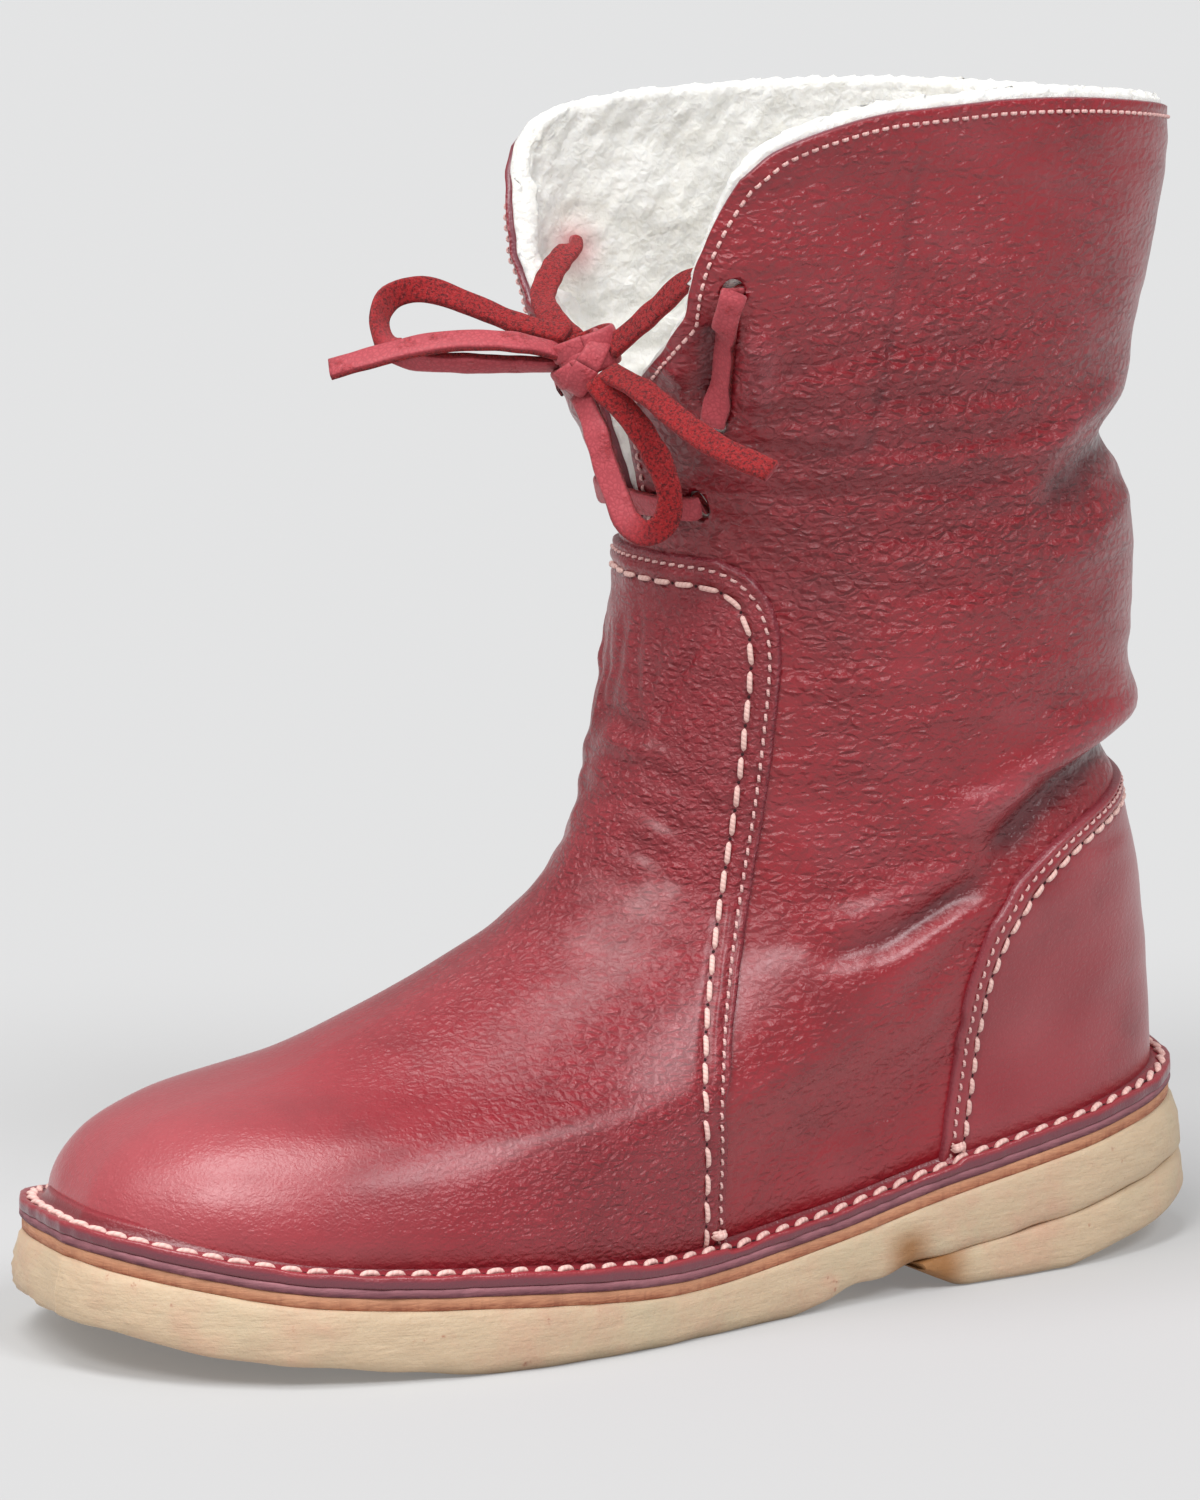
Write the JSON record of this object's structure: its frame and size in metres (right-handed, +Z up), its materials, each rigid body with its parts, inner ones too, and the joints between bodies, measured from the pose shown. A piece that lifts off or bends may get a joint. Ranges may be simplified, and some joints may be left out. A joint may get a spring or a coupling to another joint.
{
  "type": "shearling ankle boot",
  "caption": "Left ankle boot with a hollow flared shaft, open laced throat, turned-out stitched flange, crepe sole and low crepe heel.",
  "frame": {"origin": "on the floor, in the middle of the heel's flat contact face", "axes": "+Z up, -Y towards the toe, +X towards the outer side of the left foot"},
  "size_m": [0.1121, 0.2836, 0.2625],
  "materials": {
    "crepe": "matt natural crepe with specks",
    "tan_layer": "matt cut edge",
    "leather_edge": "waxed dark edge",
    "footbed": "cream pile",
    "red_leather": "pebbled full grain, satin",
    "lace_leather": "suede thong"
  },
  "bodies": {
    "root": {"outsole": "crepe", "heel": "crepe", "midsole": "tan_layer", "welt": "leather_edge", "insole": "footbed", "upper": "red_leather", "vamp": "red_leather", "heel_counter": "red_leather", "lace_crossings": "lace_leather", "lace_knot": "lace_leather", "lace_loop_left": "lace_leather", "lace_loop_low": "lace_leather", "lace_end_left": "lace_leather", "lace_end_right": "lace_leather"}
  },
  "joints": []
}
